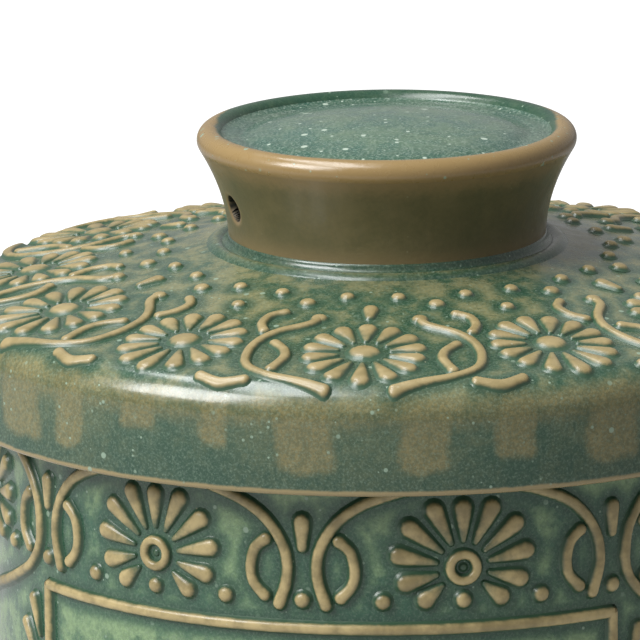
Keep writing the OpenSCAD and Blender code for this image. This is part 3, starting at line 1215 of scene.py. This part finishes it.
@dataclass
class Lid:
    """The lid: its shell and locating flange and the clay applied to it."""

    finishes: Finishes
    radius: float = field(default_factory=lambda: reach("lid_shell"))
    edge: float = field(default_factory=lambda: foot("lid_shell"))
    flange_radius: float = field(default_factory=lambda: reach("lid_flange"))
    flange_top: float = field(default_factory=lambda: top("lid_flange"))
    flange_foot: float = field(default_factory=lambda: foot("lid_flange"))
    knob_radius: float = 29.2
    wall: float = 4.6
    flange_wall: float = 4.0
    rise: float = 0.9
    line: float = 1.9
    flowers: int = 12
    phase: float = -3.7
    petals: int = 14
    bloom: float = 0.797
    scroll: tuple[Point, ...] = ((10.1, 0.625), (11.2, 0.658), (15.6, 0.703), (17.7, 0.755), (17.9, 0.82),
                                 (16.3, 0.89), (12.4, 0.932), (7.5, 0.954), (4.4, 0.971))
    inner_crescent: tuple[Point, ...] = ((14.8, 0.768), (12.6, 0.8), (11.8, 0.84), (12.6, 0.9))
    outer_crescent: tuple[Point, ...] = ((17.9, 0.606), (20.2, 0.63), (20.3, 0.672), (18.7, 0.707))
    leaf: tuple[Point, ...] = ((15.2, 0.955), (18.3, 0.967), (21.3, 0.954))
    edge_soft: float = 0.8
    well_inset: float = 3.6
    hidden_by_knob: float = 28.0
    drips: tuple[tuple[float, float, float], ...] = (
        (-62.0, 3.5, 5.0), (-53.5, 8.0, 3.6), (-44.0, 4.5, 4.0), (-33.0, 5.0, 9.5), (-22.0, 3.5, 8.0),
        (-10.5, 7.0, 3.8), (4.5, 6.0, 4.0), (16.0, 5.0, 6.0), (29.0, 7.0, 4.0), (40.0, 4.0, 8.0),
        (52.0, 7.0, 4.5))

    @property
    def wrap(self) -> LidWrap:
        """The surface that the clay lies on."""
        return LidWrap(self.radius, self.edge)

    @property
    def step(self) -> float:
        """Degrees from flower to flower."""
        return 360.0 / self.flowers

    def turns(self, start: int = 0, every: int = 1, more: float = 0.0) -> list[float]:
        """Gives the angles of one flower in every so many, with more degrees added to each."""
        return [self.phase + self.step * i + more for i in range(start, self.flowers, every)]

    def petal(self, i: int) -> Stroke:
        """Lays one petal of a flower.

        Args:
            i: its place round the flower.

        Returns:
            The stroke.
        """
        t = math.radians(90 + 360 * i / self.petals)
        far = 9.5 + (2.3 if math.sin(t) < 0 else 0.6) * math.sin(t) ** 2
        way, centre = np.array([math.cos(t), math.sin(t)]), np.array(self.wrap.at(0, self.bloom))
        return drop(centre + far * way, centre + 5.0 * way, 1.72, 0.55)

    def path(self, guide: Sequence[Point], side: int) -> list[Point]:
        """Gives guide points on the flat lid, on one side of a flower."""
        return [self.wrap.at(side * u, v) for u, v in guide]

    def reliefs(self) -> list[Relief]:
        """Lays out every kind of clay on the lid.

        Returns:
            The reliefs.
        """
        at, sides, rise = self.wrap.at, (-1, 1), self.rise
        curls = [dot(at(s * self.scroll[0][0], self.scroll[0][1]), 0.8 * self.line) for s in sides]
        dots = [dot(at(s * 6.4, 0.502), 1.35) for s in sides] + [dot(at(self.step / 2, 0.545), 1.55)]
        crescents = [trail(self.path(g, s), self.line * w) for s in sides
                     for g, w in ((self.inner_crescent, 1.05), (self.outer_crescent, 1.0))]
        ringed = self.turns(0, 2)
        return [
            Relief("lid_flower_petals", [self.petal(i) for i in range(self.petals)], self.turns(), rise),
            Relief("lid_flower_hearts", [dot(at(0, self.bloom), 2.8)], self.turns(), rise),
            Relief("lid_scrolls", [*(trail(self.path(self.scroll, s), self.line, 5) for s in sides), *curls],
                   ringed, rise),
            Relief("lid_crescents", crescents, ringed, rise),
            Relief("lid_leaves", [trail(self.path(self.leaf, s), self.line, 5) for s in sides], ringed,
                   rise),
            Relief("lid_drops", [drop(at(0, 0.569), at(0, 0.611), 1.45, 0.9)], ringed, rise),
            Relief("lid_dots", dots, self.turns(), rise),
            Relief("lid_dots", [dot(at(0, 0.589), 1.35)], self.turns(1, 2), rise),
        ]

    def skin_at(self, r: float) -> float:
        """Gives the height of the lid's skin above the table at a radius."""
        return self.edge + float(self.wrap.skin(np.array([r]))[0][0])

    def profile(self) -> list[Point]:
        """Gives the shell's profile, up the outside, then under from the axis back to the edge.

        Returns:
            Its points.
        """
        w, e, soft, k = self.wrap, self.edge, self.edge_soft, self.knob_radius
        bead = [(self.radius - soft + soft * math.cos(a), e + soft + soft * math.sin(a))
                for a in np.linspace(-math.pi / 2, 0, 5)]
        shoulder = [(w.arc_radius + w.rounding * math.cos(a), e + w.skirt + w.rounding * math.sin(a))
                    for a in np.linspace(0, math.pi / 2 - w.slope, 14)]
        fillet = [(k + off, self.skin_at(k + off) + up) for off, up in
                  ((1.5, 0.0), (1.0, 0.05), (0.6, 0.22), (0.35, 0.5), (0.2, 0.9), (0.12, 1.4), (-0.2, 1.4))]
        seat, inside = self.flange_top, self.flange_radius - self.flange_wall
        skirt_inside = self.radius - self.wall
        well_radius = k - self.well_inset
        well = self.skin_at(well_radius)
        return [*bead, *shoulder, *fillet, (well_radius, well), (AXIS, well),
                (AXIS, self.skin_at(k) - self.wall), (k, self.skin_at(k) - self.wall),
                (inside, self.skin_at(inside) - self.wall), (inside, seat), (skirt_inside, seat),
                (skirt_inside, e + soft), (skirt_inside + 0.6, e + 0.1), (self.radius - soft, e)]

    def brownness(self, at: np.ndarray) -> np.ndarray:
        """Gives how far the glaze has run thin and brown under the shoulder, with drips running down.

        Args:
            at: points on the shell in mm.

        Returns:
            A share for each point.
        """
        turn = np.degrees(np.arctan2(at[:, 0], -at[:, 1]))
        z = at[:, 2] - self.edge
        rng = np.random.default_rng(7)
        drips = list(self.drips)
        angle, last_angle = 60.0, 292.0
        while angle < last_angle:
            angle += rng.uniform(8.0, 14.0)
            drips.append(((angle + 180) % 360 - 180, rng.uniform(3.5, 8.0), rng.uniform(3.5, 9.0)))
        band = 0.62 * np.clip((z - 10.6) / 3.0, 0, 1)
        for middle, width, end in drips:
            sway = 0.3 * np.sin(z / 2.3 + middle)
            off = np.abs((turn - middle + sway + 180) % 360 - 180) / (width / 2)
            tip = end + 0.7 * off**2 + 0.3 * np.sin(1.3 * turn)
            across = np.clip((1.32 - off) / 0.55, 0, 1)
            down = np.clip((z - tip) / 2.4 + 0.5, 0, 1)
            band = np.maximum(band, 0.9 * across * across * (3 - 2 * across) * down * down * (3 - 2 * down))
        outer = np.hypot(at[:, 0], at[:, 1]) > self.radius - self.wrap.rounding
        return np.where(outer, band * np.clip((19.0 - z) / 2.5, 0, 1), 0.0)

    def settle(self, at: np.ndarray, normal: np.ndarray) -> np.ndarray:
        """Wavers the shell, apart from the underside that sits on the jar's rim."""
        return waver(at, normal, 0.12 * (normal[:, 2] > -0.5))

    def build(self) -> None:
        """Makes the lid's pieces."""
        lay_clay(self.reliefs(), self.wrap, "lid", self.finishes.lid_slip)
        shell = Turned("lid_shell", self.profile(), step=0.95, segments=540).build(self.marks, self.settle)
        dress(shell, "lid_shell", "lid", self.finishes.lid)
        dress(self.flange(), "lid_flange", "lid", self.finishes.clay)

    def marks(self, at: np.ndarray) -> Marks:
        """Marks the shell where the glaze pools, where it runs brown and where it breaks at the edge.

        Args:
            at: points of the shell in mm.

        Returns:
            The values of the marks.
        """
        r, z = np.hypot(at[:, 0], at[:, 1]), at[:, 2] - self.edge
        outside = (z > self.wrap.skin(r)[0] - SKIN) & (r > self.hidden_by_knob)
        near = clay_distance(self.reliefs(), self.wrap, at, outside)
        by_knob = np.maximum(0.0, r - self.knob_radius + 0.2) * 0.8 + 0.3
        on_skirt = np.where(z < self.wrap.skirt + 2, 0.5 + 0.85 * np.clip((z - 2.5) / 6.0, 0, 1), FAR)
        return {"near": np.minimum(near, np.minimum(by_knob, on_skirt)),
                "tan": np.clip((1.2 - z) / 0.6, 0, 1) * (r > self.radius - 2.0), "brown": self.brownness(at)}

    def flange(self) -> bpy.types.Object:
        """Turns the unglazed flange that keeps the lid in place.

        Returns:
            The piece.
        """
        r, t = self.flange_radius, self.flange_wall
        ring = Turned("lid_flange", [
            (r, self.flange_top), (r, self.flange_foot + 1.2), (r - 0.4, self.flange_foot + 0.4),
            (r - 1.2, self.flange_foot), (r - t + 1.2, self.flange_foot),
            (r - t + 0.4, self.flange_foot + 0.4),
            (r - t, self.flange_foot + 1.2), (r - t, self.flange_top)], step=1.2, segments=200)
        ring.profile.reverse()
        return ring.build()


# ---- the knob ----------------------------------------------------------------------------------------------


@dataclass
class Knob:
    """The knob: its collar, its flared hollow wall with a vent hole, its rolled rim and its domed top."""

    finishes: Finishes
    low: float = field(default_factory=lambda: foot("knob_wall"))
    seam: float = field(default_factory=lambda: top("knob_wall"))
    rim_radius: float = field(default_factory=lambda: reach("knob_rim"))
    rim_top: float = field(default_factory=lambda: top("knob_rim"))
    cap_radius: float = field(default_factory=lambda: reach("knob_cap"))
    cap_top: float = field(default_factory=lambda: top("knob_cap"))
    collar_radius: float = field(default_factory=lambda: reach("knob_collar"))
    base_radius: float = 29.2
    seam_radius: float = 34.49
    wall: float = 3.8
    roll: float = 2.5
    vent_angle: float = -68.0
    vent_height: float = 8.0
    vent_radius: float = 2.3
    cap_groove: float = 1.9

    def radius_at(self, z: float) -> float:
        """Gives the wall's outside radius at a height above its foot."""
        flare = (z / (self.seam - self.low)) ** 2
        return self.base_radius + (self.seam_radius - self.base_radius) * flare

    def vent_share(self, at: np.ndarray) -> np.ndarray:
        """Gives how far points lie from the vent's axis, as a share of its radius.

        Args:
            at: points in mm.

        Returns:
            The shares, large on the far side of the knob.
        """
        a = math.radians(self.vent_angle)
        ahead = np.array([math.sin(a), -math.cos(a), 0.0])
        middle = np.array([0.0, 0.0, self.low + self.vent_height])
        off = at - middle
        along = off @ ahead
        gap = np.linalg.norm(off - along[:, None] * ahead, axis=1)
        return np.where(along > 0, gap / self.vent_radius, 9.0)

    def lip(self, at: np.ndarray) -> Marks:
        """Marks the tan lip where the glaze breaks round the vent, and the bore inside it, which the knob's
        glaze paints near black as shade.
        """
        share = self.vent_share(at)
        return {"lip": np.clip((1.6 - share) / 0.45, 0, 1), "bore": np.clip((1.12 - share) / 0.08, 0, 1)}

    def sink(self, at: np.ndarray, normal: np.ndarray) -> np.ndarray:
        """Turns the wall's skin in round the vent, in a soft lip and a bore.

        Args:
            at: points in mm.
            normal: their outward directions.

        Returns:
            The moved points.
        """
        share = self.vent_share(at)
        lip = 0.35 * np.clip((1.4 - share) / 0.4, 0, 1) ** 2
        bore = (self.wall - 0.8) * np.clip((1.0 - share) / 0.12, 0, 1)
        deep = np.where(normal[:, 2] > -0.9, lip + bore, 0.0)
        return waver(at, normal, 0.06) - normal * deep[:, None]

    def build(self) -> None:
        """Makes the knob's pieces."""
        dress(self.turn_wall(), "knob_wall", "lid", self.finishes.knob)
        dress(self.turn_rim(), "knob_rim", "lid", self.finishes.rim)
        dress(self.turn_cap(), "knob_cap", "lid", self.finishes.cap)
        dress(self.turn_collar(), "knob_collar", "lid", self.finishes.lid)

    def turn_wall(self) -> bpy.types.Object:
        """Turns the flared wall with its vent and its inside.

        Returns:
            The piece.
        """
        outer = [(self.radius_at(z), self.low + z) for z in np.linspace(0, self.seam - self.low, 30)]
        skin = Turned("knob_wall", outer, step=0.3, segments=680).build(self.lip, self.sink, self.kept)
        lining = Turned("lining", [(self.base_radius - 3.4, self.low + 0.5),
                                   (self.cap_radius - 2.0, self.seam)], step=0.7, segments=260)
        self.join(skin, lining)
        return skin

    @property
    def roll_radius(self) -> float:
        """Radius at which the rim's roll is centred."""
        return self.rim_radius - self.roll

    @property
    def roll_height(self) -> float:
        """Height at which the rim's roll is centred."""
        return self.rim_top - self.roll

    @property
    def roll_end(self) -> float:
        """Angle round the roll at which it meets the cap."""
        return math.pi - math.acos(min(1.0, (self.roll_radius - self.cap_radius) / self.roll))

    def turn_rim(self) -> bpy.types.Object:
        """Turns the rolled rim.

        Returns:
            The piece.
        """
        first = math.asin((self.seam - self.roll_height) / self.roll)
        rim = [(self.roll_radius + self.roll * math.cos(a), self.roll_height + self.roll * math.sin(a))
               for a in np.linspace(first, self.roll_end, 26)]
        return Turned("knob_rim", rim, step=0.4, segments=420).build(
            self.rim_marks, self.settle_rim)

    def settle_rim(self, at: np.ndarray, normal: np.ndarray) -> np.ndarray:
        """Wavers the rim, which is rolled truer than the walls."""
        return waver(at, normal, 0.07)

    def rim_marks(self, at: np.ndarray) -> Marks:
        """Marks the rim tan, fading to green inside it and at the back.

        Args:
            at: points of the rim in mm.

        Returns:
            The values of the marks.
        """
        r = np.hypot(at[:, 0], at[:, 1])
        back = np.clip((at[:, 1] / self.rim_radius - 0.1) / 0.5, 0.0, 1.0)
        tan = np.clip(0.5 + (r - self.roll_radius + 1.0 - 2.4 * back) / 2.2, 0.0, 1.0)
        return {"near": np.full(len(at), 0.8), "tan": tan, "brown": np.zeros(len(at))}

    @property
    def groove_radius(self) -> float:
        """Radius of the groove between the cap's dome and the rim."""
        return self.cap_radius - 2.2

    def turn_cap(self) -> bpy.types.Object:
        """Turns the domed top inside the rim.

        Returns:
            The piece.
        """
        groove, low = self.groove_radius, self.seam + self.cap_groove
        rise = self.cap_top - low
        start = self.roll_height + self.roll * math.sin(self.roll_end)
        dish = bend([(self.cap_radius, start), (self.cap_radius - 0.8, start - 0.4),
                     (self.cap_radius - 2.4, low + 0.30), (groove - 1.8, low + 0.12),
                     (groove * 0.84, low + rise * (1 - 0.84**2))], 6).tolist()
        dome = [(groove * t, low + rise * (1 - t**2)) for t in np.linspace(0.81, 0.002, 26)]
        return Turned("knob_cap", dish + dome, step=0.6, segments=320).build(self.cap_marks, waver)

    def cap_marks(self, at: np.ndarray) -> Marks:
        """Marks the cap where the glaze pools in its groove and breaks tan at the rim.

        Args:
            at: points of the cap in mm.

        Returns:
            The values of the marks.
        """
        r = np.hypot(at[:, 0], at[:, 1])
        return {"near": np.clip(np.abs(r - self.groove_radius) * 0.12 + 0.8, 0.8, 2.1),
                "tan": np.clip((r - self.cap_radius + 0.5) / 1.6, 0, 1), "brown": np.zeros(len(at))}

    @property
    def collar_inner(self) -> float:
        """Inner radius of the collar."""
        return self.base_radius + 1.3

    def turn_collar(self) -> bpy.types.Object:
        """Turns the low ring round the knob's foot, on the lid's slope.

        Returns:
            The piece.
        """
        outer, inner = self.collar_radius, self.collar_inner
        base, high = foot("knob_collar") - 0.1, top("knob_collar")
        ring = []
        for t in np.linspace(0, 1, 12):
            r = outer + 0.3 - (outer - inner + 0.6) * t
            ring.append((r, base + (outer - r) * math.tan(LidWrap.slope)
                         + (high - base - 0.5) * math.sin(math.pi * t) ** 0.8))
        return Turned("knob_collar", ring, step=0.35, segments=360).build(self.collar_marks)

    def collar_marks(self, at: np.ndarray) -> Marks:
        """Marks the collar green in its hollows and browner along its crest.

        Args:
            at: points of the collar in mm.

        Returns:
            The values of the marks.
        """
        inner, outer = self.collar_inner, self.collar_radius
        crest = 1 - np.abs(np.hypot(at[:, 0], at[:, 1]) - (inner + outer) / 2) / (0.62 * (outer - inner))
        return {"near": np.clip(1.5 * crest, 0, FAR) + 0.6, "tan": np.zeros(len(at)),
                "brown": np.clip(crest, 0, 1) * 0.35}

    def kept(self, middle: np.ndarray) -> np.ndarray:
        """Tells which faces of the wall stay, which are those outside the vent's bore."""
        return self.vent_share(middle) > 0.86

    def join(self, skin: bpy.types.Object, lining: Turned) -> None:
        """Adds the knob's inside to its wall.

        Args:
            skin: the wall's outer skin.
            lining: the inside, spun with its faces turned inward.
        """
        lining.profile.reverse()
        inside = lining.build(keep=self.kept)
        with bpy.context.temp_override(active_object=skin, selected_editable_objects=[skin, inside]):
            bpy.ops.object.join()


# ---- the studio --------------------------------------------------------------------------------------------


@dataclass(frozen=True)
class Softbox:
    """A large soft lamp aimed at a point."""

    name: str
    place: Colour
    size: tuple[float, float]
    power: float

    def build(self, target: Vector) -> None:
        """Hangs the lamp.

        Args:
            target: the point that it faces.
        """
        lamp = bpy.data.lights.new(self.name, "AREA")
        lamp.shape = "RECTANGLE"
        lamp.size, lamp.size_y = self.size
        lamp.energy = self.power
        obj = bpy.data.objects.new(self.name, lamp)
        obj.location = self.place
        obj.rotation_euler = (target - Vector(self.place)).to_track_quat("-Z", "Y").to_euler()
        bpy.context.scene.collection.objects.link(obj)


@dataclass(frozen=True)
class Studio:
    """The pale floor, the soft lamps and the camera."""

    floor_colour: Colour = (0.52, 0.52, 0.51)
    floor_glow: float = 0.85
    sky: float = 0.29
    sky_in_gloss: float = 0.34
    lens: float = 478.125
    right: Colour = (0.99994, 0.00625, -0.00844)
    up: Colour = (0.00683, 0.22293, 0.97481)
    ahead: Colour = (-0.00798, 0.97481, -0.22288)
    back_off: float = 18.63714
    rise: float = 4.42365
    boxes: tuple[Softbox, ...] = (
        Softbox("top-softbox", (-0.32, -0.02, 1.2), (0.95, 0.32), 9.0),
        Softbox("left-softbox", (-1.36, -0.80, 1.48), (1.0, 1.0), 45.0),
    )

    def build(self) -> None:
        """Sets up the floor, the lamps, the sky and the camera."""
        low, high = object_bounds()
        target = Vector(((low[0] + high[0]) / 2, (low[1] + high[1]) / 2, high[2] * 0.85))
        for box in self.boxes:
            box.build(target)
        self.lay_floor(low[2])
        self.light_sky()
        bpy.context.scene.view_settings.view_transform = "Standard"
        self.set_camera(reach("lid_shell") * MM, foot("lid_shell") * MM)

    def light_sky(self) -> None:
        """Lights the sky: white to the camera, dimmer in gloss and dimmer still as light."""
        world = bpy.data.worlds.new("studio")
        bpy.context.scene.world = world
        world.use_nodes = True
        tree = world.node_tree
        path = tree.nodes.new("ShaderNodeLightPath")
        level = None
        for ray, high in (("Is Glossy Ray", self.sky_in_gloss), ("Is Camera Ray", 1.0)):
            span = tree.nodes.new("ShaderNodeMapRange")
            tree.links.new(path.outputs[ray], span.inputs[0])
            span.inputs[3].default_value = self.sky
            if level:
                tree.links.new(level, span.inputs[3])
            span.inputs[4].default_value = high
            level = span.outputs[0]
        background = tree.nodes["Background"]
        tree.links.new(level, background.inputs[1])
        background.inputs[0].default_value = (1.0, 1.0, 1.0, 1.0)

    def lay_floor(self, z: float) -> None:
        """Lays the floor.

        Args:
            z: its height in metres.
        """
        mesh = bpy.data.meshes.new("floor")
        side = 6.0
        corners = [(-side, -side, z), (side, -side, z), (side, side, z), (-side, side, z)]
        mesh.from_pydata(corners, [], [(0, 1, 2, 3)])
        floor = bpy.data.objects.new("floor", mesh)
        g = Graph("floor-paper")
        grain = g.noise(30.0, 2.0)
        tone = g.mix(grain.ease(0.3, 0.7), self.floor_colour, tuple(0.985 * c for c in self.floor_colour))
        g.finish(tone, 0.8, grain, 0.02, Gloss(coat=0.0, specular=0.1))
        paper = Link(g, g.material.node_tree.nodes["Principled BSDF"].outputs[0])
        bright = g.node("ShaderNodeEmission", {}, {"Color": (1.0, 1.0, 1.0), "Strength": self.floor_glow})
        seen = g.node("ShaderNodeLightPath", {}, {}, "Is Camera Ray")
        both = g.node("ShaderNodeAddShader", {}, {0: paper, 1: bright})
        g.node_out(g.node("ShaderNodeMixShader", {}, {0: seen, 1: paper, 2: both}))
        mesh.materials.append(g.material)
        bpy.context.scene.collection.objects.link(floor)
        floor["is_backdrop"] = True

    def set_camera(self, lid_radius: float, edge: float) -> None:
        """Places the camera from the lid's radius and the height of its edge.

        Args:
            lid_radius: the lid's radius in metres.
            edge: the height of its edge in metres.
        """
        camera = bpy.data.cameras.new("camera")
        camera.sensor_width = 36.0
        camera.lens = self.lens
        camera.clip_start = 0.05
        obj = bpy.data.objects.new("camera", camera)
        turn = Matrix((self.right, self.up, tuple(-c for c in self.ahead))).transposed().to_4x4()
        place = Vector((0.0, -self.back_off * lid_radius, edge + self.rise * lid_radius))
        obj.matrix_world = Matrix.Translation(place) @ turn
        bpy.context.scene.collection.objects.link(obj)
        bpy.context.scene.camera = obj


def main() -> None:
    """Builds the jar, the lid, the knob and the studio."""
    logging.basicConfig(level=logging.INFO, format="%(message)s")
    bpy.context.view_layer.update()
    finishes = Finishes(
        jar=GreenGlaze("jar-glaze", grey=(0.066, 0.152, 0.078), teal=(0.022, 0.096, 0.054),
                       pale=(0.270, 0.390, 0.190), salt=0.26, pool=2.8, stipple=0.3).build(),
        lid=GreenGlaze("lid-glaze", teal=(0.028, 0.080, 0.044), grey=(0.100, 0.130, 0.064),
                       pale=(0.250, 0.230, 0.108)).build(),
        jar_slip=SlipGlaze("jar-slip", crown=(0.470, 0.370, 0.175), bite=0.72).build(),
        lid_slip=SlipGlaze("lid-slip", crown=(0.335, 0.262, 0.122), bite=0.66).build(),
        knob=KnobGlaze(foot("knob_wall"), top("knob_wall")).build(),
        rim=GreenGlaze("rim-glaze", tan=(0.262, 0.176, 0.070), salt=0.08, gloss=Gloss(0.3, 0.2)).build(),
        cap=GreenGlaze("cap-glaze", grey=(0.085, 0.150, 0.095), teal=(0.026, 0.105, 0.076), salt=0.4,
                       speck=(0.50, 0.60, 0.50), dust=0.05, spot=1.3, pale_share=0.35).build(),
        clay=BareClay().build(),
    )
    Jar(finishes).build()
    Lid(finishes).build()
    Knob(finishes).build()
    Studio().build()


if __name__ == "__main__":
    main()
